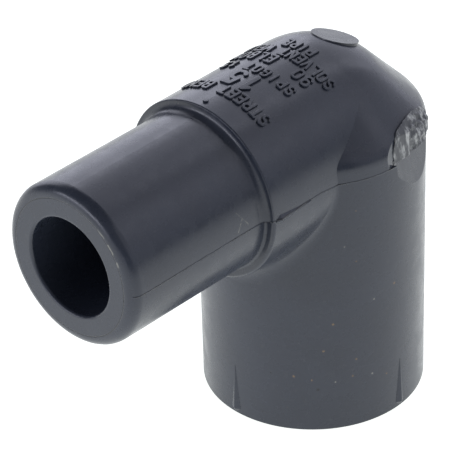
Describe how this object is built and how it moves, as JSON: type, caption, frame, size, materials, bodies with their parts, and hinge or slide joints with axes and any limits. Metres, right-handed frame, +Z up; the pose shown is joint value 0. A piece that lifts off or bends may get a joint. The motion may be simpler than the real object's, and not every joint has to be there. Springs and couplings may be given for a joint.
{
  "type": "pipe elbow fitting",
  "caption": "Moulded plastic 90 degree street elbow for half-inch pipe, with a solvent-weld socket at one end and a pipe-sized spigot at the other.",
  "frame": {"origin": "centre of the socket's open end face", "axes": "+Z up the socket's axis towards the bend, -X along the spigot away from the bend, Y across the parting plane"},
  "size_m": [0.0581, 0.0302, 0.0495],
  "materials": {
    "moulded_body": "semi-gloss moulded dark blue-grey",
    "torn_plastic": "rough, torn and stress-whitened"
  },
  "bodies": {
    "root": {"socket_hub": "moulded_body", "socket_floor": "moulded_body", "elbow_knuckle": "moulded_body", "spigot_collar": "moulded_body", "spigot_tube": "moulded_body", "hub_rib_right": "moulded_body", "hub_rib_back": "moulded_body", "hub_rib_left": "moulded_body", "hub_rib_front": "moulded_body", "collar_rib_front": "moulded_body", "collar_rib_back": "moulded_body", "gate_scar": "torn_plastic", "heel_pad": "moulded_body", "marking_row_1": "moulded_body", "marking_row_2": "moulded_body", "marking_row_3": "moulded_body", "marking_row_4": "moulded_body", "marking_row_5": "moulded_body", "marking_row_6": "moulded_body", "collar_dot": "moulded_body"}
  },
  "joints": []
}
